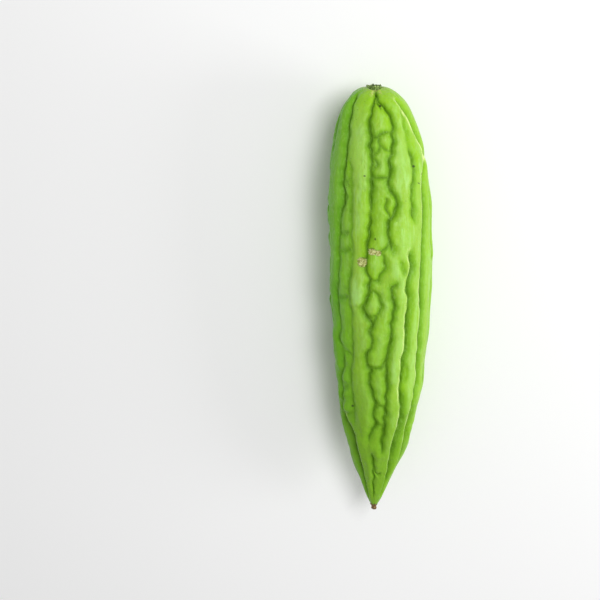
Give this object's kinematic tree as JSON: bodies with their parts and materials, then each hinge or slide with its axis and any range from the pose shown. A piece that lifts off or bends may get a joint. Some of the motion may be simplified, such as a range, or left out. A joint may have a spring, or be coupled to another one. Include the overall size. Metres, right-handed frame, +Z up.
{
  "type": "bitter gourd",
  "caption": "Whole light green bitter gourd lying on its side: a long tapered fruit with furrowed ribs, rows of soft warts, a cut stem stub and a pointed flower tip.",
  "frame": {"origin": "bottom centre of the bounding box, on the surface that the gourd lies on", "axes": "+Z up, +Y along the gourd towards its stem end, +X across it to the right"},
  "size_m": [0.0622, 0.264, 0.0605],
  "materials": {
    "rind": "smooth rind, half matt"
  },
  "bodies": {
    "root": {"gourd": "rind"}
  },
  "joints": []
}
